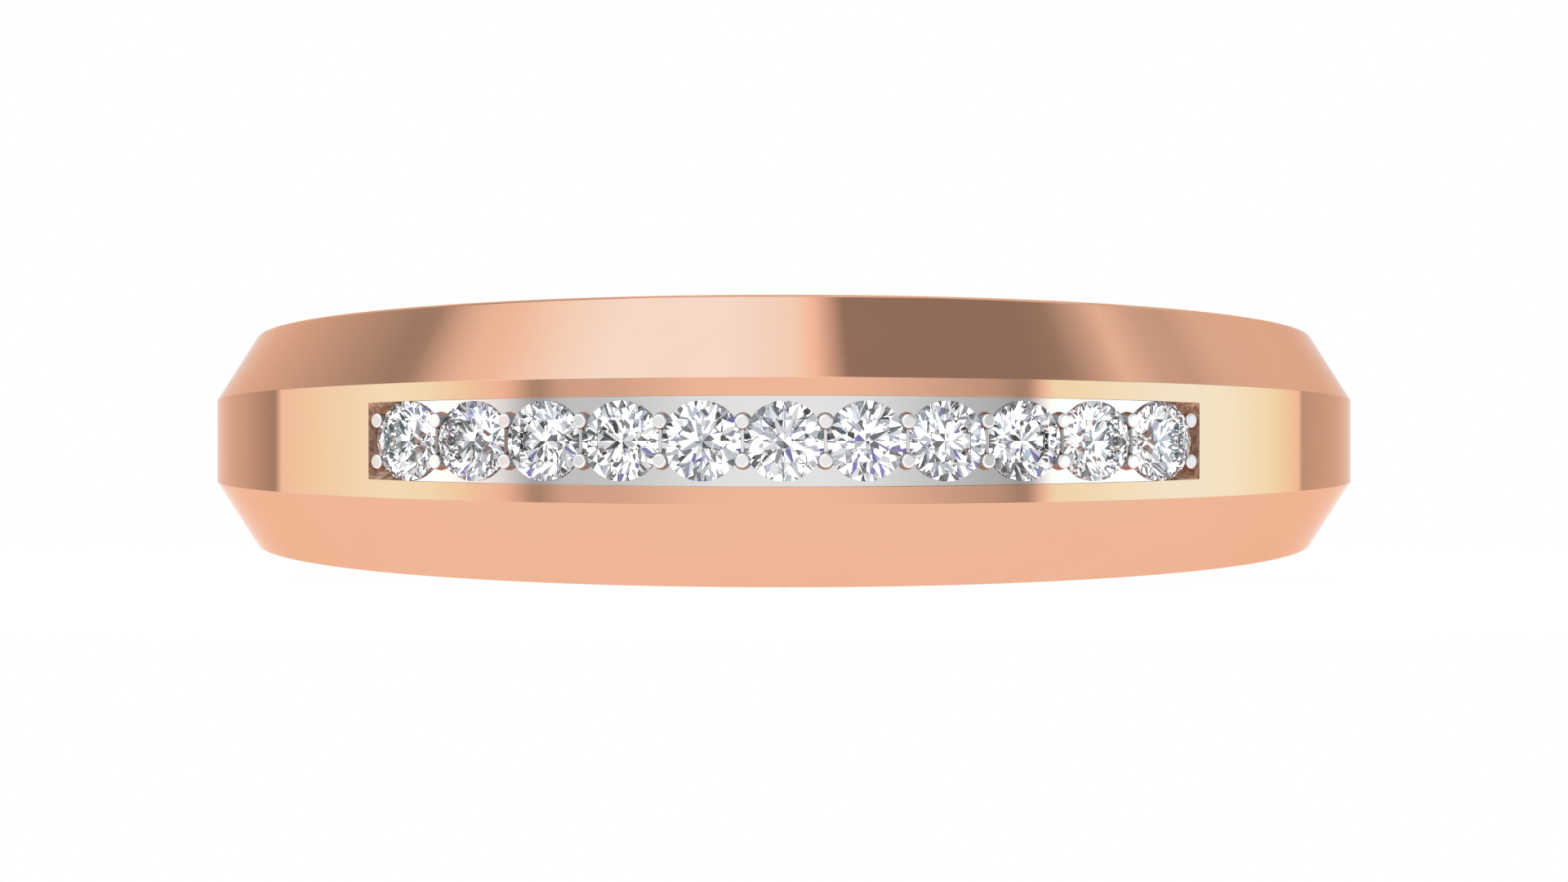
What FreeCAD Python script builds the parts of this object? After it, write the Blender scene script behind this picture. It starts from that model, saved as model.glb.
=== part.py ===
import FreeCAD, Part
import math
import os

# Wedding band with eleven round stones. Millimetres. The finger hole runs along Z, the head
# with the stones faces -Y, and the origin is the middle of the finger hole.

Vector = FreeCAD.Vector
CENTRE = Vector(0, 0, 0)
FINGER_AXIS = Vector(0, 0, 1)

# ---- Band, rose gold ----
OUTER_RADIUS = 11.35      # outside of the band, on its flat
BORE_RADIUS = 9.475       # finger hole, US size 9
FLAT_HALF = 0.768         # half width of the flat, halfway round the ring
FLAT_TAPER = 0.0424       # half width gained per mm towards the head
BEVEL_SLOPE = 1.587       # axial run of the bevel per mm of radius lost
SIDE_HALF = 2.043         # half width between the side faces, halfway round the ring
SIDE_TAPER = 0.0671       # half width gained per mm towards the head
OUTER_ROUNDING = 0.11     # edge between bevel and side face
BORE_ROUNDING = 0.25      # edge between finger hole and side face

# ---- Slot that takes the setting ----
SLOT_END_ANGLE = 43.87    # radial end walls, degrees either side of the head
SLOT_HALF = 0.398         # half width of the mouth, halfway round the ring
SLOT_TAPER = 0.0383       # half width gained per mm towards the head
SLOT_LEAN = 0.18          # how far the upper side walls come in
SLOT_LEAN_DEPTH = 0.30    # depth over which they do so
SLOT_FLOOR_RADIUS = 10.60
LIGHT_HOLE_RADIUS = 0.35  # drilled from the finger hole to the floor behind each stone

# ---- Stones, round brilliants ----
STONES = 11
STONE_PITCH = 7.68        # degrees
STONE_RADIUS = 0.75
GIRDLE_FROM_AXIS = 11.40  # middle of the girdle, from the finger axis
GIRDLE_HALF = 0.0225      # half the girdle's thickness
TABLE_RADIUS = 0.42       # to the corners of the octagon
CROWN_ANGLE = 34.5        # kite facets, degrees
STAR_LENGTH = 0.52        # part of the way from table to girdle
PAVILION_ANGLE = 41.0     # main facets, degrees
LOWER_HALF_LENGTH = 0.77  # part of the way from girdle to culet
STONE_TURN = 22.5         # degrees about its own axis, which squares the table to the ring

# ---- Setting plate and prongs, white gold ----
PLATE_TOP_RADIUS = 11.345
PLATE_BASE_RADIUS = 11.05
PLATE_END_ANGLE = 39.2    # degrees either side of the head
BAR_TOP_RADIUS = 11.485   # bars of the plate that part neighbouring stones
BAR_WIDTH = 0.065
POST_RADIUS = 0.14        # of a prong, under the plate
COLLAR_RADIUS = 0.172     # where it stands on the plate
TIP_RADIUS = 0.13         # at its top
PRONG_TOP = 11.58         # from the finger axis
PRONG_DOME = 0.045        # rounding of the tip
PRONG_AXIAL = 0.357       # of the middle pairs, from the mid plane
PRONG_SPREAD = 0.029      # further out at the end pairs
PRONG_END_ANGLE = 41.7    # the end pairs, degrees either side of the head
SEAT_RADIUS = 0.755       # cut by the setting bur round each girdle
SEAT_ANGLE = 43.0         # bur faces over and under the girdle
FIT = 0.005               # working clearance

# ---- Blanks and cutters ----
BLANK_LENGTH = 8.0        # along the finger axis, longer than the ring
OVERSHOOT = 0.2           # by which a cutter runs past what it cuts
CONE_REACH = 5.0          # of the bevels' cones, either side of the outer circle
WALL_REACH = 3.0          # of the slot walls' cones, outside the outer circle
WALL_DEPTH = 0.9          # and inside it


def along(taper, side):
    """Unit axis tilted by the taper, for the side of the ring facing +Z (1) or -Z (-1)."""
    axis = Vector(0, taper, side)
    return axis.normalize()


def tapering_cone(half, taper, side, growth, below, above):
    """Solid cone that passes through the band's outer circle where the half width is `half`.

    Its radius grows by `growth` per mm of axis, and it runs from `below` to `above` that circle.
    """
    axis = along(taper, side)
    start = axis * (half / math.hypot(1, taper) - below)
    low = OUTER_RADIUS - growth * below
    high = OUTER_RADIUS + growth * above
    return Part.makeCone(low, high, below + above, start, axis)


def tapering_slab(half, taper):
    """Everything between two planes that lean apart towards the head."""
    reach = 2 * OUTER_RADIUS
    wide = half + taper * reach
    narrow = half - taper * reach
    corners = [
        Vector(-reach, -reach, -wide),
        Vector(-reach, -reach, wide),
        Vector(-reach, reach, narrow),
        Vector(-reach, reach, -narrow),
        Vector(-reach, -reach, -wide),
    ]
    return Part.Face(Part.makePolygon(corners)).extrude(Vector(2 * reach, 0, 0))


def sector(inner, outer, half_angle):
    """Arc of a thick tube, centred on the head."""
    base = Vector(0, 0, -BLANK_LENGTH / 2)
    arc = Part.makeCylinder(outer, BLANK_LENGTH, base, FINGER_AXIS, 2 * half_angle)
    arc.rotate(CENTRE, FINGER_AXIS, -90 - half_angle)
    return arc.cut(Part.makeCylinder(inner, BLANK_LENGTH, base, FINGER_AXIS))


def round_edges(shape, low, high):
    """Edges that run right round the ring between two distances from the finger axis."""
    found = []
    for edge in shape.Edges:
        radii = [math.hypot(point.x, point.y) for point in edge.discretize(9)]
        if edge.Length > 4 * low and min(radii) > low and max(radii) < high:
            found.append(edge)
    return found


def at_head(shape, angle, from_axis=0.0):
    """Stands a shape modelled about +Z on the head, then swings it round the ring."""
    placed = shape.copy()
    placed.rotate(CENTRE, Vector(1, 0, 0), 90)
    placed.translate(Vector(0, -from_axis, 0))
    placed.rotate(CENTRE, FINGER_AXIS, angle)
    return placed


def stone_angle(index):
    return (index - (STONES - 1) / 2) * STONE_PITCH


def prong_angle(index):
    angle = (index - STONES / 2) * STONE_PITCH
    return max(-PRONG_END_ANGLE, min(PRONG_END_ANGLE, angle))


def side_wall(side, clearance):
    """Metal outside the leaning upper wall of the slot, on one side."""
    growth = SLOT_LEAN_DEPTH / SLOT_LEAN
    return tapering_cone(SLOT_HALF - clearance, SLOT_TAPER, side, growth, WALL_DEPTH, WALL_REACH)


def slot():
    upper = sector(OUTER_RADIUS - SLOT_LEAN_DEPTH, OUTER_RADIUS + OVERSHOOT, SLOT_END_ANGLE)
    for side in (1, -1):
        upper = upper.cut(side_wall(side, 0))
    lower = sector(SLOT_FLOOR_RADIUS, OUTER_RADIUS - SLOT_LEAN_DEPTH + FIT, SLOT_END_ANGLE)
    lower = lower.common(tapering_slab(SLOT_HALF - SLOT_LEAN, SLOT_TAPER))
    return upper.fuse(lower)


def band():
    base = Vector(0, 0, -BLANK_LENGTH / 2)
    body = Part.makeCylinder(OUTER_RADIUS, BLANK_LENGTH, base)
    body = body.common(tapering_slab(SIDE_HALF, SIDE_TAPER))
    for side in (1, -1):
        bevel = tapering_cone(FLAT_HALF, FLAT_TAPER, side, -1 / BEVEL_SLOPE, CONE_REACH, CONE_REACH)
        body = body.common(bevel)
    body = body.cut(Part.makeCylinder(BORE_RADIUS, BLANK_LENGTH, base))
    body = body.makeFillet(BORE_ROUNDING, round_edges(body, BORE_RADIUS - FIT, BORE_RADIUS + FIT))
    shoulders = round_edges(body, BORE_RADIUS + 2 * BORE_ROUNDING, OUTER_RADIUS - FIT)
    body = body.makeFillet(OUTER_ROUNDING, shoulders)
    body = body.cut(slot())
    length = SLOT_FLOOR_RADIUS - BORE_RADIUS + 2 * OVERSHOOT
    hole = Part.makeCylinder(LIGHT_HOLE_RADIUS, length, Vector(0, 0, BORE_RADIUS - OVERSHOOT))
    for index in range(STONES):
        body = body.cut(at_head(hole, stone_angle(index)))
    return body


def ring_point(radius, step, height):
    """Point of the stone at a multiple of 11.25 degrees round its axis."""
    turn = math.radians(11.25 * step)
    return Vector(radius * math.cos(turn), radius * math.sin(turn), height)


def on_plane(points, radius, step):
    """Point at this radius and direction, at the height of the plane through three points."""
    first, second, third = points
    normal = (second - first).cross(third - first)
    flat = ring_point(radius, step, 0)
    rise = normal.x * (flat.x - first.x) + normal.y * (flat.y - first.y)
    return Vector(flat.x, flat.y, first.z - rise / normal.z)


def half_stone(angle, reach, side):
    """Facets over (side 1) or under (side -1) the girdle, and their 32 girdle points.

    `reach` is how far the facets touching the girdle run in towards the stone's axis: there two
    of them meet two of the eight main facets.
    """
    slope = math.tan(math.radians(angle))
    cosine = math.cos(math.radians(22.5))

    def height(radius, offset):
        return side * (GIRDLE_HALF + slope * (STONE_RADIUS - radius * offset))

    meet = [ring_point(reach, 4 * k + 2, height(reach, cosine)) for k in range(8)]
    rim = {}
    facets = []
    for k in range(8):
        for start, middle in ((4 * k, 4 * k + 1), (4 * k + 4, 4 * k + 3)):
            tip = ring_point(STONE_RADIUS, start, side * GIRDLE_HALF)
            mid = ring_point(STONE_RADIUS, 4 * k + 2, side * GIRDLE_HALF)
            between = on_plane((meet[k], tip, mid), STONE_RADIUS, middle)
            rim[start % 32] = tip
            rim[4 * k + 2] = mid
            rim[middle] = between
            facets.append([meet[k], tip, between, mid])
    return meet, [rim[step] for step in range(32)], facets, height


def brilliant():
    """Round brilliant about +Z, table up, middle of the girdle at the origin."""
    table_edge = TABLE_RADIUS * math.cos(math.radians(22.5))
    star_reach = table_edge + STAR_LENGTH * (STONE_RADIUS - table_edge)
    stars, top, facets, crown = half_stone(CROWN_ANGLE, star_reach, 1)
    lower_reach = STONE_RADIUS * (1 - LOWER_HALF_LENGTH)
    meets, bottom, under, pavilion = half_stone(PAVILION_ANGLE, lower_reach, -1)
    facets += under
    table = [ring_point(TABLE_RADIUS, 4 * k, crown(TABLE_RADIUS, 1)) for k in range(8)]
    culet = Vector(0, 0, pavilion(0, 1))
    facets.append(table)
    for k in range(8):
        facets.append([table[k], table[(k + 1) % 8], stars[k]])
        facets.append([table[k], stars[k], top[4 * k], stars[k - 1]])
        facets.append([culet, meets[k], bottom[4 * k], meets[k - 1]])
    for step in range(32):
        following = (step + 1) % 32
        facets.append([top[step], top[following], bottom[following], bottom[step]])
    faces = [Part.Face(Part.makePolygon(corners + corners[:1])) for corners in facets]
    shell = Part.makeShell(faces)
    shell.sewShape()
    solid = Part.makeSolid(Part.Shell(shell.Faces))
    if solid.Volume < 0:
        solid.reverse()
    return solid


def bur():
    """What the setting bur takes away round one stone: a groove for the girdle, cones beside it."""
    flank = GIRDLE_HALF + FIT
    reach = SEAT_RADIUS * math.tan(math.radians(SEAT_ANGLE))
    groove = Part.makeCylinder(SEAT_RADIUS, 2 * flank, Vector(0, 0, -flank))
    over = Part.makeCone(SEAT_RADIUS, 0, reach, Vector(0, 0, flank))
    under = Part.makeCone(SEAT_RADIUS, 0, reach, Vector(0, 0, -flank), Vector(0, 0, -1))
    return groove.fuse([over, under]).removeSplitter()


def prong_axial(index):
    return PRONG_AXIAL + PRONG_SPREAD * abs(prong_angle(index)) / PRONG_END_ANGLE


def prong_blank(index, side, clearance):
    """Post before it is notched. Only those that pass through the plate have a collar."""
    foot = TIP_RADIUS
    collar = []
    if 0 < index < STONES:
        foot = POST_RADIUS
        collar = [(POST_RADIUS, PLATE_TOP_RADIUS), (COLLAR_RADIUS, PLATE_TOP_RADIUS)]
    section = [(foot, SLOT_FLOOR_RADIUS)] + collar + [(TIP_RADIUS, PRONG_TOP)]
    corners = [Vector(radius + clearance, 0, height) for radius, height in section]
    corners = [Vector(0, 0, SLOT_FLOOR_RADIUS)] + corners + [Vector(0, 0, PRONG_TOP)]
    outline = Part.makePolygon(corners + corners[:1])
    blank = Part.Face(outline).revolve(CENTRE, FINGER_AXIS, 360)
    rim = [edge for edge in blank.Edges if edge.isClosed() and edge.BoundBox.ZMin > PRONG_TOP - FIT]
    blank = blank.makeFillet(PRONG_DOME, rim)
    blank.translate(Vector(0, side * prong_axial(index), 0))
    return at_head(blank, prong_angle(index))


def prong(index, side, seats):
    """One post from the slot's floor to its domed tip, notched for the stones it holds."""
    post = prong_blank(index, side, 0)
    for stone in (index - 1, index):
        if 0 <= stone < STONES:
            post = post.cut(seats[stone])
    return max(post.Solids, key=lambda solid: solid.Volume)


def setting_plate(seats):
    """Strip in the mouth of the slot, with a raised bar from prong to prong between the stones."""
    plate = sector(PLATE_BASE_RADIUS, PLATE_TOP_RADIUS, PLATE_END_ANGLE)
    for side in (1, -1):
        plate = plate.cut(side_wall(side, FIT))
    bar_base = (PLATE_BASE_RADIUS + PLATE_TOP_RADIUS) / 2
    corner = Vector(-BAR_WIDTH / 2, -PRONG_AXIAL, bar_base)
    bar = Part.makeBox(BAR_WIDTH, 2 * PRONG_AXIAL, BAR_TOP_RADIUS - bar_base, corner)
    plate = plate.fuse([at_head(bar, prong_angle(index)) for index in range(1, STONES)])
    for seat in seats:
        plate = plate.cut(seat)
    for index in range(1, STONES):
        for side in (1, -1):
            plate = plate.cut(prong_blank(index, side, FIT))
    return max(plate.Solids, key=lambda solid: solid.Volume)


def save(name, shape):
    shape.exportStep("parts/" + name + ".step")
    print(name, "volume", round(shape.Volume, 4), "valid", shape.isValid(), "solids", len(shape.Solids))


os.makedirs("parts", exist_ok=True)
seats = [at_head(bur(), stone_angle(index), GIRDLE_FROM_AXIS) for index in range(STONES)]
stone = brilliant()
stone.rotate(CENTRE, FINGER_AXIS, STONE_TURN)
save("band", band())
save("setting_plate", setting_plate(seats))
for index in range(STONES):
    save("diamond_%02d" % (index + 1), at_head(stone, stone_angle(index), GIRDLE_FROM_AXIS))
for index in range(STONES + 1):
    save("prong_%02d_upper" % (index + 1), prong(index, 1, seats))
    save("prong_%02d_lower" % (index + 1), prong(index, -1, seats))
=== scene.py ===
import math

import bmesh
import bpy
from mathutils import Matrix, Vector


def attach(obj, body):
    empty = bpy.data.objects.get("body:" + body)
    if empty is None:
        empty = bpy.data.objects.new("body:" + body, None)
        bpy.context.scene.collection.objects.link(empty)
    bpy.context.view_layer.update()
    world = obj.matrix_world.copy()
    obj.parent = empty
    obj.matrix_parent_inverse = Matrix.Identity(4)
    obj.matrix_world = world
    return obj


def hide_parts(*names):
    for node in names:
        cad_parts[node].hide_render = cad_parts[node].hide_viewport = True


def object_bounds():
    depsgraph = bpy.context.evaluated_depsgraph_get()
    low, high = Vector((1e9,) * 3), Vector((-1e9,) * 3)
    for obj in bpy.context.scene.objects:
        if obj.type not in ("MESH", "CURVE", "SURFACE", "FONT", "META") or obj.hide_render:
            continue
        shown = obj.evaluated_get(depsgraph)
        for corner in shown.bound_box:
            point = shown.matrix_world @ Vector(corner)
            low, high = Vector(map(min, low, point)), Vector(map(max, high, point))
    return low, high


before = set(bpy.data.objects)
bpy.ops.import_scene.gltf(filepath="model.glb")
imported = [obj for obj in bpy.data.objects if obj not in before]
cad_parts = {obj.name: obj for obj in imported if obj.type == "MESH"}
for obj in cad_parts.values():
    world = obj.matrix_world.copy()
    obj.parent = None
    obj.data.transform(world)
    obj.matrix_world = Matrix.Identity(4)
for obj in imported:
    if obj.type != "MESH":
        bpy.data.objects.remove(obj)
cad_low, cad_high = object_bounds()

# A rose gold wedding band lying on its side, its stones towards the camera. Lengths are in
# millimetres until a mesh is made. The finger hole runs along Z and the head faces -Y.
MM = 0.001

OUTER_RADIUS = 11.35      # band
BORE_RADIUS = 9.475
FLAT_HALF = 0.768
FLAT_TAPER = 0.0424
BEVEL_SLOPE = 1.587
SIDE_HALF = 2.043
SIDE_TAPER = 0.0671
OUTER_ROUNDING = 0.11
BORE_ROUNDING = 0.25
CRISP_ROUNDING = 0.018    # the polished edges that look sharp
MOUTH_ROUNDING = 0.008    # edge of the slot

SLOT_END_ANGLE = 43.87    # slot and light holes
SLOT_HALF = 0.398
SLOT_TAPER = 0.0383
SLOT_LEAN = 0.18
SLOT_LEAN_DEPTH = 0.30
SLOT_FLOOR_RADIUS = 10.60
LIGHT_HOLE_RADIUS = 0.35
OVERSHOOT = 0.2           # by which a cutter runs past what it cuts

STONES = 11               # stones
STONE_PITCH = 7.68
GIRDLE_FROM_AXIS = 11.40
GIRDLE_HALF = 0.0225

PLATE_TOP_RADIUS = 11.345  # setting plate and prongs
PLATE_BASE_RADIUS = 11.05
PLATE_END_ANGLE = 39.2
BAR_TOP_RADIUS = 11.485
BAR_WIDTH = 0.065
BAR_ROUNDING = 0.012
POST_RADIUS = 0.14
COLLAR_RADIUS = 0.172
TIP_RADIUS = 0.13
PRONG_TOP = 11.58
PRONG_DOME = 0.045
PRONG_AXIAL = 0.357
PRONG_SPREAD = 0.029
PRONG_END_ANGLE = 41.7
SEAT_RADIUS = 0.755
SEAT_ANGLE = 43.0
FIT = 0.005
SNUG = 0.002              # gap between the plate and the slot's walls

HOLD = 0.004              # distance of the points that keep shading flat beside an edge
MERGE = HOLD / 4          # points nearer than this become one
SMOOTH_ANGLE = math.radians(28)
SOLVER_STEPS = 8          # more than enough for the leaning cones
SLOT_SECTIONS = 176       # sections of the band's mesh along the slot
REST_SECTIONS = 272       # and round the rest of the ring
PLATE_SECTIONS = 157
POST_SEGMENTS = 48        # round a prong or a drill
BUR_SEGMENTS = 96


# ---- Meshes ----

def make_object(name, mesh_data):
    """Piece of the ring from a bmesh in millimetres, smooth but for its real edges."""
    bmesh.ops.remove_doubles(mesh_data, verts=mesh_data.verts, dist=MERGE)
    bmesh.ops.recalc_face_normals(mesh_data, faces=mesh_data.faces)
    bmesh.ops.scale(mesh_data, vec=(MM, MM, MM), verts=mesh_data.verts)
    mesh = bpy.data.meshes.new(name)
    mesh_data.to_mesh(mesh)
    mesh_data.free()
    mesh.shade_smooth()
    mesh.set_sharp_from_angle(angle=SMOOTH_ANGLE)
    piece = bpy.data.objects.new(name, mesh)
    bpy.context.scene.collection.objects.link(piece)
    return piece


def combine(piece, others, operation):
    """Adds the others' shapes to a piece (UNION) or cuts them out of it (DIFFERENCE)."""
    for other in others:
        modifier = piece.modifiers.new("combine", "BOOLEAN")
        modifier.operation = operation
        modifier.solver = "EXACT"
        modifier.object = other
    graph = bpy.context.evaluated_depsgraph_get()
    result = bpy.data.meshes.new_from_object(piece.evaluated_get(graph))
    piece.modifiers.clear()
    piece.data = result
    result.shade_smooth()
    result.set_sharp_from_angle(angle=SMOOTH_ANGLE)
    for other in others:
        bpy.data.objects.remove(other)


def rounded(before, at, after, radius, steps):
    """Arc that rounds a corner of an outline, with a holding point beyond each of its ends."""
    back = (before - at).normalized()
    ahead = (after - at).normalized()
    half = back.angle(ahead) / 2
    length = radius / math.tan(half)
    centre = at + (back + ahead).normalized() * radius / math.sin(half)
    first = at + back * length - centre
    last = at + ahead * length - centre
    points = [at + back * (length + HOLD)]
    for step in range(steps + 1):
        points.append(centre + first.slerp(last, step / steps).normalized() * radius)
    points.append(at + ahead * (length + HOLD))
    return points


def outline(corners):
    """Outline from corners given as (point, rounding, steps); rounding 0 keeps a plain point."""
    points = []
    for index, (at, radius, steps) in enumerate(corners):
        if radius == 0:
            points.append(at)
        else:
            points += rounded(corners[index - 1][0], at, corners[index + 1][0], radius, steps)
    return points


def loft(columns, closed):
    """Skin over a row of equal outlines; a row that isn't closed gets end caps."""
    mesh_data = bmesh.new()
    rows = [[mesh_data.verts.new(point) for point in column] for column in columns]
    following = rows[1:] + rows[:1] if closed else rows[1:]
    for row, beyond in zip(rows, following):
        for place in range(len(row)):
            after = (place + 1) % len(row)
            mesh_data.faces.new((row[place], row[after], beyond[after], beyond[place]))
    if not closed:
        mesh_data.faces.new(rows[0])
        mesh_data.faces.new(rows[-1])
    return mesh_data


def turned(name, section, angle, from_axis=0.0, axial=0.0, segments=POST_SEGMENTS):
    """Solid of revolution about a radial line of the ring, from (radius, height) points."""
    mesh_data = bmesh.new()
    rings = []
    for radius, height in section:
        if radius == 0:
            rings.append([mesh_data.verts.new((0, 0, height))] * segments)
            continue
        turns = [2 * math.pi * step / segments for step in range(segments)]
        ring = [(radius * math.cos(turn), radius * math.sin(turn), height) for turn in turns]
        rings.append([mesh_data.verts.new(point) for point in ring])
    for low, high in zip(rings, rings[1:]):
        for step in range(segments):
            beyond = (step + 1) % segments
            corners = []
            for vertex in (low[step], low[beyond], high[beyond], high[step]):
                if vertex not in corners:
                    corners.append(vertex)
            if len(corners) > 2:
                mesh_data.faces.new(corners)
    for ring in (rings[0], rings[-1]):
        if ring[0] is not ring[1]:
            mesh_data.faces.new(ring)
    stand(mesh_data, angle, from_axis, axial)
    return make_object(name, mesh_data)


def stand(mesh_data, angle, from_axis=0.0, axial=0.0):
    """Stands a shape made about +Z on the head, then swings it round the ring."""
    upright = Matrix.Rotation(math.radians(90), 4, "X")
    outwards = Matrix.Translation((0, -from_axis, axial))
    swing = Matrix.Rotation(angle, 4, "Z")
    bmesh.ops.transform(mesh_data, matrix=swing @ outwards @ upright, verts=mesh_data.verts)


# ---- Shape of the band ----

def ring_point(radius, height, angle):
    """Point at an angle round the finger axis, 0 at the head and growing towards +X."""
    return (radius * math.sin(angle), -radius * math.cos(angle), height)


def cone_height(radius, angle, half, taper, growth):
    """Height of a cone whose axis leans with the taper: the bevels and the slot's upper walls."""
    lean = math.hypot(1, taper)
    height = half + taper * radius * math.cos(angle)
    for _ in range(SOLVER_STEPS):
        along = (height - taper * radius * math.cos(angle)) / lean
        across = math.sqrt(radius ** 2 + height ** 2 - along ** 2)
        miss = across - OUTER_RADIUS - growth * (along - half / lean)
        height -= miss / ((height - along / lean) / across - growth / lean)
    return height


def bevel_height(radius, angle):
    return cone_height(radius, angle, FLAT_HALF, FLAT_TAPER, -1 / BEVEL_SLOPE)


def side_height(radius, angle):
    return SIDE_HALF + SIDE_TAPER * radius * math.cos(angle)


def wall_height(radius, angle, gap=0.0):
    """Height of the slot's wall, which leans in over its upper part and is upright under it."""
    knee = OUTER_RADIUS - SLOT_LEAN_DEPTH
    if radius > knee:
        return cone_height(radius, angle, SLOT_HALF - gap, SLOT_TAPER, SLOT_LEAN_DEPTH / SLOT_LEAN)
    return SLOT_HALF - gap - SLOT_LEAN + SLOT_TAPER * radius * math.cos(angle)


def shoulder_radius(angle):
    """Where the bevel meets the side face."""
    radius = (BORE_RADIUS + OUTER_RADIUS) / 2
    for _ in range(SOLVER_STEPS):
        miss = bevel_height(radius, angle) - side_height(radius, angle)
        radius += miss / (BEVEL_SLOPE + SIDE_TAPER * math.cos(angle))
    return radius


def band_outline(angle, with_slot):
    """Upper half of the band's section at an angle, from the finger hole to the mid plane."""
    shoulder = shoulder_radius(angle)
    knee = OUTER_RADIUS - SLOT_LEAN_DEPTH
    mouth = wall_height(OUTER_RADIUS, angle)
    wall = wall_height(knee, angle)
    corners = [
        (Vector((BORE_RADIUS, 0)), 0, 0),
        (Vector((BORE_RADIUS, side_height(BORE_RADIUS, angle))), BORE_ROUNDING, 8),
        (Vector((shoulder, side_height(shoulder, angle))), OUTER_ROUNDING, 6),
        (Vector((OUTER_RADIUS, bevel_height(OUTER_RADIUS, angle))), CRISP_ROUNDING, 3),
    ]
    slot_corners = [
        (Vector((OUTER_RADIUS, mouth)), MOUTH_ROUNDING, 3),
        (Vector((knee, wall)), CRISP_ROUNDING, 2),
        (Vector((SLOT_FLOOR_RADIUS, wall)), CRISP_ROUNDING, 2),
        (Vector((SLOT_FLOOR_RADIUS, 0)), 0, 0),
    ]
    middle = (Vector((OUTER_RADIUS, 0)), 0, 0)
    points = outline(corners + [middle])[:-1]
    inner = outline([(corners[-1][0], 0, 0)] + slot_corners)[1:]
    if not with_slot:
        top = mouth + 2 * MOUTH_ROUNDING
        count = len(inner) - 1
        inner = [Vector((OUTER_RADIUS, top * (1 - step / count))) for step in range(count + 1)]
    return points + inner


def band():
    end = math.radians(SLOT_END_ANGLE)
    hold = HOLD / OUTER_RADIUS
    sections = [(-end, True), (-end + hold, True)]
    sections += [(-end + 2 * end * step / SLOT_SECTIONS, True) for step in range(1, SLOT_SECTIONS)]
    sections += [(end - hold, True), (end, True), (end, False), (end + hold, False)]
    rest = 2 * math.pi - 2 * end
    sections += [(end + rest * step / REST_SECTIONS, False) for step in range(1, REST_SECTIONS)]
    sections += [(-end - hold, False), (-end, False)]
    columns = []
    for angle, with_slot in sections:
        half = band_outline(angle, with_slot)
        mirrored = [Vector((point.x, -point.y)) for point in reversed(half[1:-1])]
        columns.append([ring_point(point.x, point.y, angle) for point in half + mirrored])
    piece = make_object("band_polished", loft(columns, True))
    drilled = [
        (LIGHT_HOLE_RADIUS, BORE_RADIUS - OVERSHOOT),
        (LIGHT_HOLE_RADIUS, SLOT_FLOOR_RADIUS + OVERSHOOT),
    ]
    holes = [turned("light_hole", drilled, stone_angle(index)) for index in range(STONES)]
    combine(piece, holes, "DIFFERENCE")
    return piece


def in_slot(centre):
    """Whether a face with this centre, in metres, lines the slot or a light hole."""
    radius = math.hypot(centre.x, centre.y) / MM
    if not BORE_RADIUS + FIT < radius < OUTER_RADIUS - MOUTH_ROUNDING:
        return False
    angle = math.atan2(centre.x, -centre.y)
    inside = abs(centre.z) / MM < wall_height(OUTER_RADIUS, angle)
    return inside and abs(angle) < math.radians(SLOT_END_ANGLE) + HOLD / OUTER_RADIUS


# ---- Setting ----

def stone_angle(index):
    return math.radians((index - (STONES - 1) / 2) * STONE_PITCH)


def prong_angle(index):
    angle = (index - STONES / 2) * STONE_PITCH
    return math.radians(max(-PRONG_END_ANGLE, min(PRONG_END_ANGLE, angle)))


def prong_axial(index):
    return PRONG_AXIAL + PRONG_SPREAD * abs(math.degrees(prong_angle(index))) / PRONG_END_ANGLE


def bur(index):
    """What the setting bur takes away round one stone."""
    flank = GIRDLE_HALF + FIT
    reach = SEAT_RADIUS * math.tan(math.radians(SEAT_ANGLE)) + flank
    section = [(0, -reach), (SEAT_RADIUS, -flank), (SEAT_RADIUS, flank), (0, reach)]
    return turned("bur", section, stone_angle(index), GIRDLE_FROM_AXIS, segments=BUR_SEGMENTS)


def prong_blank(name, index, side, clearance):
    """Post with a domed tip, and a collar where it stands on the plate."""
    tip = outline([
        (Vector((COLLAR_RADIUS, PLATE_TOP_RADIUS)), 0, 0),
        (Vector((TIP_RADIUS, PRONG_TOP)), PRONG_DOME, 8),
        (Vector((0, PRONG_TOP)), 0, 0),
    ])
    foot = [(POST_RADIUS, SLOT_FLOOR_RADIUS), (POST_RADIUS, PLATE_TOP_RADIUS)] + tip[:1]
    if index in (0, STONES):
        foot = [(TIP_RADIUS, SLOT_FLOOR_RADIUS)]
    section = [(radius + clearance, height) for radius, height in foot + tip[1:-1]]
    return turned(name, section, prong_angle(index), axial=side * prong_axial(index))


def prong(name, index, side):
    """One prong, notched for the stones that it holds."""
    piece = prong_blank(name, index, side, 0)
    combine(piece, [bur(stone) for stone in (index - 1, index) if 0 <= stone < STONES], "DIFFERENCE")
    return piece


def bar(index):
    """Raised bar that parts two stones, from prong to prong."""
    half = BAR_WIDTH / 2
    low = (PLATE_BASE_RADIUS + PLATE_TOP_RADIUS) / 2
    section = outline([
        (Vector((-half, low)), 0, 0),
        (Vector((-half, BAR_TOP_RADIUS)), BAR_ROUNDING, 3),
        (Vector((half, BAR_TOP_RADIUS)), BAR_ROUNDING, 3),
        (Vector((half, low)), 0, 0),
    ])
    ends = (-PRONG_AXIAL, PRONG_AXIAL)
    mesh_data = loft([[(point.x, end, point.y) for point in section] for end in ends], False)
    stand(mesh_data, prong_angle(index))
    return make_object("bar", mesh_data)


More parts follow.
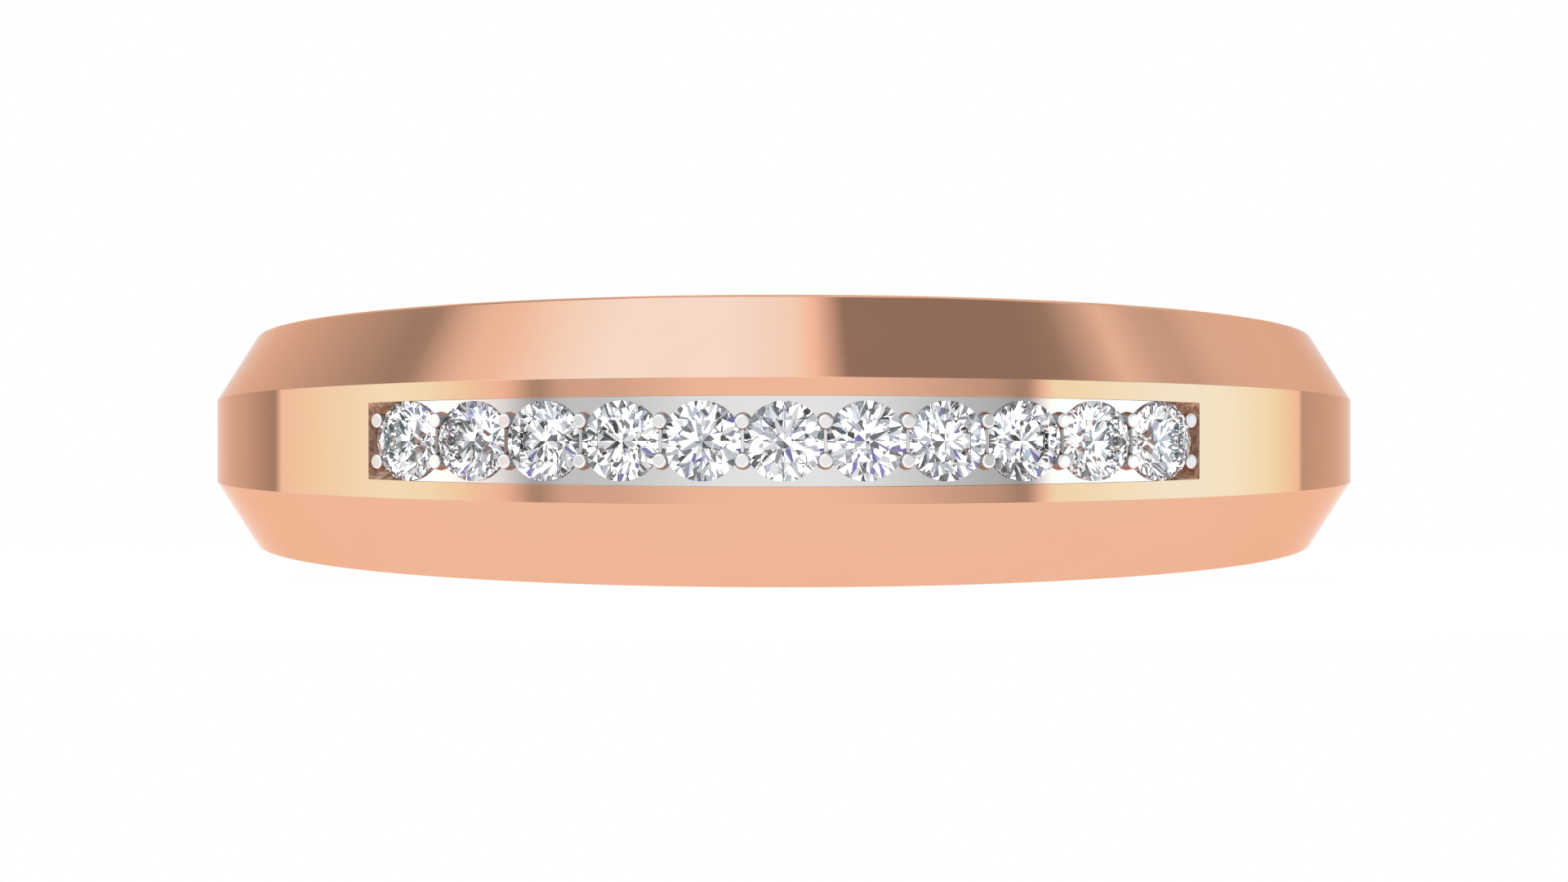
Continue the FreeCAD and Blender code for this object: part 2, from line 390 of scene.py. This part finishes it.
def setting_plate():
    end = math.radians(PLATE_END_ANGLE)
    columns = []
    for step in range(PLATE_SECTIONS + 1):
        angle = -end + 2 * end * step / PLATE_SECTIONS
        top = wall_height(PLATE_TOP_RADIUS, angle, SNUG)
        base = wall_height(PLATE_BASE_RADIUS, angle, FIT)
        section = [(PLATE_TOP_RADIUS, -top), (PLATE_TOP_RADIUS, top)]
        section += [(PLATE_BASE_RADIUS, base), (PLATE_BASE_RADIUS, -base)]
        columns.append([ring_point(*point, angle) for point in section])
    piece = make_object("plate_polished", loft(columns, False))
    combine(piece, [bar(index) for index in range(1, STONES)], "UNION")
    cutters = [bur(index) for index in range(STONES)]
    for index in range(1, STONES):
        cutters += [prong_blank("drill", index, side, FIT) for side in (1, -1)]
    combine(piece, cutters, "DIFFERENCE")
    return piece


# ---- Materials ----

ROSE_GOLD = (0.847, 0.468, 0.309)
WHITE_GOLD = (0.775, 0.755, 0.745)
# Painted warm tint, which cancels the cool tint of the softboxes reflected in the white gold towards
# the ends.
PAINTED_WARMTH_WHITE_GOLD = (0.95, 0.77, 0.76)     # towards the ends of the row
SHADED_WHITE_GOLD = (0.44, 0.44, 0.46)   # steep sides of the bars and prongs
STREAK_RELIEF = 0.0004                   # mm


def new_material(name, base, metallic):
    material = bpy.data.materials.new(name)
    material.use_nodes = True
    shader = material.node_tree.nodes["Principled BSDF"]
    shader.inputs["Base Color"].default_value = (*base, 1)
    shader.inputs["Metallic"].default_value = metallic
    return material, material.node_tree, shader


def noise(tree, scale, detail, stretch=(1, 1, 1)):
    """Noise in the piece's own space; the scale is in features per millimetre."""
    place = tree.nodes.new("ShaderNodeTexCoord")
    mapping = tree.nodes.new("ShaderNodeMapping")
    mapping.inputs["Scale"].default_value = [value / MM for value in stretch]
    texture = tree.nodes.new("ShaderNodeTexNoise")
    texture.inputs["Scale"].default_value = scale
    texture.inputs["Detail"].default_value = detail
    tree.links.new(place.outputs["Object"], mapping.inputs["Vector"])
    tree.links.new(mapping.outputs["Vector"], texture.inputs["Vector"])
    return texture.outputs["Fac"]


def math_node(tree, operation, first, second=0.0):
    node = tree.nodes.new("ShaderNodeMath")
    node.operation = operation
    for socket, value in zip(node.inputs, (first, second)):
        if isinstance(value, (int, float)):
            socket.default_value = value
        else:
            tree.links.new(value, socket)
    return node.outputs["Value"]


def spread(tree, value, start, finish, low=0.0, high=1.0):
    """Smooth change from low to high while the value goes from start to finish."""
    node = tree.nodes.new("ShaderNodeMapRange")
    node.interpolation_type = "SMOOTHSTEP"
    node.inputs["From Min"].default_value = start
    node.inputs["From Max"].default_value = finish
    node.inputs["To Min"].default_value = low
    node.inputs["To Max"].default_value = high
    tree.links.new(value, node.inputs["Value"])
    return node.outputs["Result"]


def blend(tree, factor, first, second):
    """Mix of two colours, each a colour, a grey or another node's output."""
    node = tree.nodes.new("ShaderNodeMix")
    node.data_type = "RGBA"
    tree.links.new(factor, node.inputs["Factor"])
    for socket, value in ((node.inputs["A"], first), (node.inputs["B"], second)):
        if isinstance(value, float):
            socket.default_value = (value, value, value, 1)
        elif isinstance(value, tuple):
            socket.default_value = (*value, 1)
        else:
            tree.links.new(value, socket)
    return node.outputs["Result"]


def object_axes(tree, output="Object"):
    split = tree.nodes.new("ShaderNodeSeparateXYZ")
    tree.links.new(tree.nodes.new("ShaderNodeTexCoord").outputs[output], split.inputs["Vector"])
    return split.outputs["X"], split.outputs["Y"], split.outputs["Z"]


def buffed(tree, shader, roughness, depth):
    """Fine streaks that run round the ring, in the gloss and as a faint relief."""
    streaks = noise(tree, 3.0, 4, (1, 1, 9))
    dullness = spread(tree, streaks, 0.3, 0.7, *roughness)
    tree.links.new(dullness, shader.inputs["Roughness"])
    bump = tree.nodes.new("ShaderNodeBump")
    bump.inputs["Strength"].default_value = 0.05
    bump.inputs["Distance"].default_value = depth * MM
    tree.links.new(streaks, bump.inputs["Height"])
    tree.links.new(bump.outputs["Normal"], shader.inputs["Normal"])
    return dullness


def rose_gold_material():
    """Mirror polish with the least cloud in its colour."""
    material, tree, shader = new_material("rose_gold", ROSE_GOLD, 1.0)
    shader.inputs["Specular Tint"].default_value = (0.96, 0.75, 0.63, 1)
    cloud = spread(tree, noise(tree, 0.7, 3), 0.3, 0.7)
    colour = blend(tree, cloud, (0.850, 0.471, 0.312), (0.842, 0.463, 0.305))
    tree.links.new(colour, shader.inputs["Base Color"])
    buffed(tree, shader, (0.030, 0.050), STREAK_RELIEF)
    return material


def slot_lining_material():
    """Rose gold as the graver and drill leave it: satin, mottled and duller."""
    material, tree, shader = new_material("rose_gold_cut", (0.90, 0.62, 0.48), 0.25)
    cloud = spread(tree, noise(tree, 9.0, 4), 0.35, 0.65)
    colour = blend(tree, cloud, (1.0, 0.68, 0.49), (0.52, 0.26, 0.17))
    tree.links.new(colour, shader.inputs["Base Color"])
    buffed(tree, shader, (0.30, 0.45), 0.002)
    return material


def towards_ends(tree, left, right):
    """Grows from 0 to 1 between two distances from the middle, given for each end of the row."""
    across = math_node(tree, "DIVIDE", object_axes(tree)[0], MM)
    on_left = spread(tree, math_node(tree, "MULTIPLY", across, -1.0), *left)
    return math_node(tree, "ADD", on_left, spread(tree, across, *right))


def radial(tree, place):
    """Vector from the finger axis to the surface."""
    node = tree.nodes.new("ShaderNodeVectorMath")
    node.operation = "MULTIPLY"
    node.inputs[1].default_value = (1, 1, 0)
    tree.links.new(place.outputs["Object"], node.inputs[0])
    return node.outputs["Vector"]


def raised(tree):
    """1 on the bars that stand on the plate, 0 on the plate itself."""
    distance = tree.nodes.new("ShaderNodeVectorMath")
    distance.operation = "LENGTH"
    tree.links.new(radial(tree, tree.nodes.new("ShaderNodeTexCoord")), distance.inputs[0])
    above = math_node(tree, "DIVIDE", distance.outputs["Value"], MM)
    return spread(tree, above, PLATE_TOP_RADIUS + 0.01, PLATE_TOP_RADIUS + 0.04)


def outward_facing(tree):
    """How squarely the surface faces away from the finger axis, 1 at most."""
    place = tree.nodes.new("ShaderNodeTexCoord")
    unit = tree.nodes.new("ShaderNodeVectorMath")
    unit.operation = "NORMALIZE"
    tree.links.new(radial(tree, place), unit.inputs[0])
    product = tree.nodes.new("ShaderNodeVectorMath")
    product.operation = "DOT_PRODUCT"
    tree.links.new(unit.outputs["Vector"], product.inputs[0])
    tree.links.new(place.outputs["Normal"], product.inputs[1])
    return product.outputs["Value"]


def white_gold_plate_material():
    """Mirror polish, with painted shade beside the middle, on the steep sides and on the bars near the
    ends, and a painted warm tint towards the ends that cancels the cool reflected softboxes.
    """
    material, tree, shader = new_material("white_gold", WHITE_GOLD, 1.0)
    # Painted shade: the plate darkens from 0.6 to 3.6 mm either side of the middle.
    beside = towards_ends(tree, (0.6, 3.6), (0.6, 3.6))
    middle = blend(tree, beside, (0.765, 0.748, 0.738), (0.715, 0.700, 0.693))
    # Painted warm tint towards the ends of the row, against the cool reflected softboxes.
    ends = towards_ends(tree, (5.1, 5.8), (4.5, 5.0))
    top = blend(tree, ends, middle, PAINTED_WARMTH_WHITE_GOLD)
    # Painted shade: surfaces turned away from the outside, such as the steep sides of the bars, take
    # the dark grey.
    colour = blend(tree, spread(tree, outward_facing(tree), 0.3, 0.7), SHADED_WHITE_GOLD, top)
    # Painted shade: the bars nearest the two ends of the row are darkened to a brownish dark grey.
    end_bar_shade = math_node(tree, "MULTIPLY", raised(tree), towards_ends(tree, (4.2, 4.8), (4.2, 4.8)))
    colour = blend(tree, end_bar_shade, colour, (0.30, 0.24, 0.23))
    cloud = spread(tree, noise(tree, 1.5, 3), 0.3, 0.7, 0.0, 0.02)
    tree.links.new(blend(tree, cloud, colour, 0.5), shader.inputs["Base Color"])
    buffed(tree, shader, (0.030, 0.055), STREAK_RELIEF)
    return material


def white_gold_prong_material():
    """Flat top like the plate and satin rim, with painted light: tops brighter beside the middle, a
    warm tint towards the ends, darker at the very ends, a painted highlight round the rim, and painted
    shade and a painted reflection of the rose gold on the foot.
    """
    material, tree, shader = new_material("white_gold_prong", WHITE_GOLD, 1.0)
    facing = outward_facing(tree)
    tilt = math_node(tree, "ABSOLUTE", object_axes(tree, "Normal")[2])
    # Painted shade and a painted reflection of the rose gold on the foot: grey where it faces sideways,
    # brown where it faces along the finger axis.
    foot = blend(tree, spread(tree, tilt, 0.40, 0.75), SHADED_WHITE_GOLD, (0.40, 0.20, 0.13))
    # Painted light: the tops brighten from 0.6 to 3.8 mm either side of the middle.
    beside = towards_ends(tree, (0.6, 3.8), (0.6, 3.8))
    middle = blend(tree, beside, (0.82, 0.80, 0.79), (0.94, 0.92, 0.91))
    # Painted warm tint towards the ends, as on the plate.
    top = blend(tree, towards_ends(tree, (4.6, 6.0), (4.3, 5.0)), middle, PAINTED_WARMTH_WHITE_GOLD)
    # Painted shade: the tops of the end prongs are darkened to a rosy brown.
    top = blend(tree, towards_ends(tree, (6.8, 7.3), (6.8, 7.3)), top, (0.75, 0.515, 0.48))
    # Painted highlight: a pale ring round the rounded rim of each top.
    top_with_rim_highlight = blend(tree, spread(tree, facing, 0.95, 0.985), (0.99, 0.92, 0.91), top)
    colour = blend(tree, spread(tree, facing, 0.22, 0.42), foot, top_with_rim_highlight)
    cloud = spread(tree, noise(tree, 6.0, 3), 0.3, 0.7, 0.0, 0.03)
    tree.links.new(blend(tree, cloud, colour, 0.5), shader.inputs["Base Color"])
    polish = buffed(tree, shader, (0.030, 0.060), STREAK_RELIEF)
    satin = spread(tree, facing, 0.985, 0.95, 0.0, 0.40)
    tree.links.new(math_node(tree, "ADD", polish, satin), shader.inputs["Roughness"])
    return material


def diamond_material():
    material, tree, shader = new_material("diamond", (1, 1, 1), 0.0)
    cloud = spread(tree, noise(tree, 1.5, 2), 0.3, 0.7)
    tree.links.new(blend(tree, cloud, (1.0, 1.0, 1.0), (0.985, 0.99, 1.0)), shader.inputs["Base Color"])
    shader.inputs["Roughness"].default_value = 0.0
    shader.inputs["Transmission Weight"].default_value = 1.0
    shader.inputs["IOR"].default_value = 2.417
    shader.inputs["Specular Tint"].default_value = (0.35, 0.35, 0.35, 1)
    return material


# ---- Studio ----

HORIZON = [  # azimuth in degrees, 0 in front of the head, then the light that comes from there
    (-180, 0.90), (-158, 0.88), (-140, 0.70), (-127, 0.48), (-123, 0.41), (-121.5, (1.03, 1.08, 1.06)),
    (-106, (1.05, 1.27, 1.19)), (-85, (1.06, 1.50, 1.49)), (-75, (1.06, 1.44, 1.33)),
    (-66, (1.04, 1.18, 1.10)), (-57, (1.0, 0.94, 0.92)), (-50, 0.44), (-44, 0.73), (-33, 0.77),
    (-17, 0.98), (-8, 1.01), (8, 1.01), (17, 0.95), (33, 0.71), (43, 0.58), (47.5, 0.44), (49.5, 0.50),
    (52.5, 0.98), (55, (1.03, 1.40, 1.28)), (68, (1.06, 1.52, 1.50)), (84, (1.07, 1.63, 1.88)),
    (100, (1.07, 1.62, 1.74)), (116, (1.05, 1.41, 1.28)), (126.5, (1.02, 1.06, 1.04)), (128, 0.60),
    (158, 0.84), (180, 0.90),
]
OVERHEAD = [
    (-180, 0.88), (-150, 0.83), (-135, 0.66), (-112, 0.40), (-108, 0.43), (-102, 0.76), (-96, 0.97),
    (-90, 1.02), (-76, (1.08, 1.31, 1.48)), (-62, (1.09, 1.46, 1.80)), (-25, (1.09, 1.47, 1.84)),
    (-8, (1.07, 1.36, 1.64)), (4, (1.06, 1.28, 1.42)), (12.5, (1.06, 1.01, 1.0)), (25, 0.33),
    (80, 0.32), (88, 0.37), (96, 0.67), (101, 0.92), (109, 0.70), (116, 0.65), (124, 0.82),
    (150, 0.88), (180, 0.88),
]
HORIZON_TO_OVERHEAD = (0.15, 0.40)  # sines of the elevations between which one gives way to the other
OVERHEAD_TO_ZENITH = (0.94, 0.99)
ZENITH = 0.9

PATCHES_PER_RADIAN = 7.5
PATCH_SQUEEZE = 0.55  # below 1 the patches are wider than tall
PATCH_SHIFT = 7.7     # slides another part of the pattern before the stones
GLITTER = [  # share of the patches below each light, then the light
    (0.0, 1.4), (0.41, (0.72, 0.73, 0.74)), (0.53, (0.48, 0.50, 0.53)), (0.63, (0.27, 0.28, 0.31)),
    (0.75, (0.13, 0.135, 0.14)), (0.86, 0.03), (0.92, (0.46, 0.46, 0.60)), (0.945, (0.16, 0.14, 0.40)),
    (0.965, (0.44, 0.55, 0.74)), (0.985, (0.50, 0.56, 0.30)), (0.995, (0.56, 0.51, 0.47)),
]


def light_ramp(tree, factor, stops, interpolation="LINEAR"):
    """Light by the factor, from stops of (place along the ramp, colour or grey)."""
    node = tree.nodes.new("ShaderNodeValToRGB")
    ramp = node.color_ramp
    ramp.interpolation = interpolation
    while len(ramp.elements) < len(stops):
        ramp.elements.new(0.5)
    for element, (place, _) in zip(ramp.elements, stops):
        element.position = place
    for element, (_, light) in zip(ramp.elements, stops):
        element.color = (*light, 1) if isinstance(light, tuple) else (light, light, light, 1)
    tree.links.new(factor, node.inputs["Fac"])
    return node.outputs["Color"]


def all_round(stops):
    """The same stops placed along a ramp that starts and ends behind the ring."""
    return [((azimuth + 180) / 360, light) for azimuth, light in stops]


def stone_light(tree):
    """What the stones glitter with: a bright room broken into patches."""
    across, forward, height = object_axes(tree, "Generated")
    squeezed = tree.nodes.new("ShaderNodeCombineXYZ")
    sideways = math_node(tree, "MULTIPLY", across, PATCH_SQUEEZE)
    tree.links.new(math_node(tree, "ADD", sideways, PATCH_SHIFT), squeezed.inputs["X"])
    tree.links.new(math_node(tree, "MULTIPLY", forward, PATCH_SQUEEZE), squeezed.inputs["Y"])
    tree.links.new(height, squeezed.inputs["Z"])
    patches = tree.nodes.new("ShaderNodeTexVoronoi")
    patches.inputs["Scale"].default_value = PATCHES_PER_RADIAN
    tree.links.new(squeezed.outputs["Vector"], patches.inputs["Vector"])
    lot = tree.nodes.new("ShaderNodeSeparateColor")
    tree.links.new(patches.outputs["Color"], lot.inputs["Color"])
    return light_ramp(tree, lot.outputs["Red"], GLITTER, "CONSTANT")


def studio_light():
    """Soft surround: a tall softbox on each side, a big one overhead left, a flag overhead right."""
    world = bpy.data.worlds.new("studio")
    bpy.context.scene.world = world
    world.use_nodes = True
    tree = world.node_tree
    across, forward, height = object_axes(tree, "Generated")
    azimuth = math_node(tree, "ARCTAN2", across, math_node(tree, "MULTIPLY", forward, -1.0))
    place = math_node(tree, "ADD", math_node(tree, "DIVIDE", azimuth, 2 * math.pi), 0.5)
    horizon = light_ramp(tree, place, all_round(HORIZON))
    overhead = light_ramp(tree, place, all_round(OVERHEAD))
    light = blend(tree, spread(tree, height, *HORIZON_TO_OVERHEAD), horizon, overhead)
    light = blend(tree, spread(tree, height, *OVERHEAD_TO_ZENITH), light, ZENITH)
    seen = tree.nodes.new("ShaderNodeLightPath")
    light = blend(tree, seen.outputs["Is Transmission Ray"], light, stone_light(tree))
    light = blend(tree, seen.outputs["Is Camera Ray"], light, 1.0)
    tree.links.new(light, tree.nodes["Background"].inputs["Color"])


FLOOR_RADIUS = 4 * OUTER_RADIUS
FLOOR_GLOW = 0.95


def floor():
    """Plain round white table, small and glowing enough to stay white beside the ring."""
    mesh_data = bmesh.new()
    bmesh.ops.create_circle(mesh_data, cap_ends=True, segments=96, radius=FLOOR_RADIUS * MM)
    mesh = bpy.data.meshes.new("floor")
    mesh_data.to_mesh(mesh)
    mesh_data.free()
    table = bpy.data.objects.new("floor", mesh)
    table.location.z = cad_low.z
    bpy.context.scene.collection.objects.link(table)
    material, tree, shader = new_material("white_table", (0.10, 0.10, 0.10), 0.0)
    shader.inputs["Roughness"].default_value = 1.0
    shader.inputs["Specular IOR Level"].default_value = 0.0
    shader.inputs["Emission Color"].default_value = (1, 1, 1, 1)
    shader.inputs["Emission Strength"].default_value = FLOOR_GLOW
    mesh.materials.append(material)
    table.visible_transmission = False


EYE_DISTANCE = 12.5 * OUTER_RADIUS
LENS = 162.14
SENSOR = 36


def camera():
    """Level with the ring and straight in front of the head."""
    data = bpy.data.cameras.new("camera")
    data.sensor_width = SENSOR
    data.lens = LENS
    data.clip_start = 0.005
    data.clip_end = 10
    eye = bpy.data.objects.new("camera", data)
    eye.location = (0, -EYE_DISTANCE * MM, 0)
    eye.rotation_euler = (math.radians(90), 0, 0)
    bpy.context.scene.collection.objects.link(eye)
    bpy.context.scene.camera = eye


# ---- The ring ----

def fit_piece(piece, material, node):
    piece.data.materials.clear()
    piece.data.materials.append(material)
    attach(piece, "root")
    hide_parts(node)


def line_slot(piece, lining):
    piece.data.materials.append(lining)
    for face in piece.data.polygons:
        if in_slot(face.center):
            face.material_index = 1


plate_gold = white_gold_plate_material()
prong_gold = white_gold_prong_material()
shank = band()
fit_piece(shank, rose_gold_material(), "band")
line_slot(shank, slot_lining_material())
fit_piece(setting_plate(), plate_gold, "setting_plate")
for index in range(STONES + 1):
    for side, word in ((1, "upper"), (-1, "lower")):
        name = "prong_%02d_%s" % (index + 1, word)
        fit_piece(prong(name + "_polished", index, side), prong_gold, name)
diamond = diamond_material()
for index in range(STONES):
    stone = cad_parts["diamond_%02d" % (index + 1)]
    stone.data.materials.clear()
    stone.data.materials.append(diamond)

studio_light()
floor()
camera()
scene = bpy.context.scene
scene.view_settings.view_transform = "Standard"
scene.cycles.max_bounces = 24
scene.cycles.glossy_bounces = 16
scene.cycles.transmission_bounces = 24
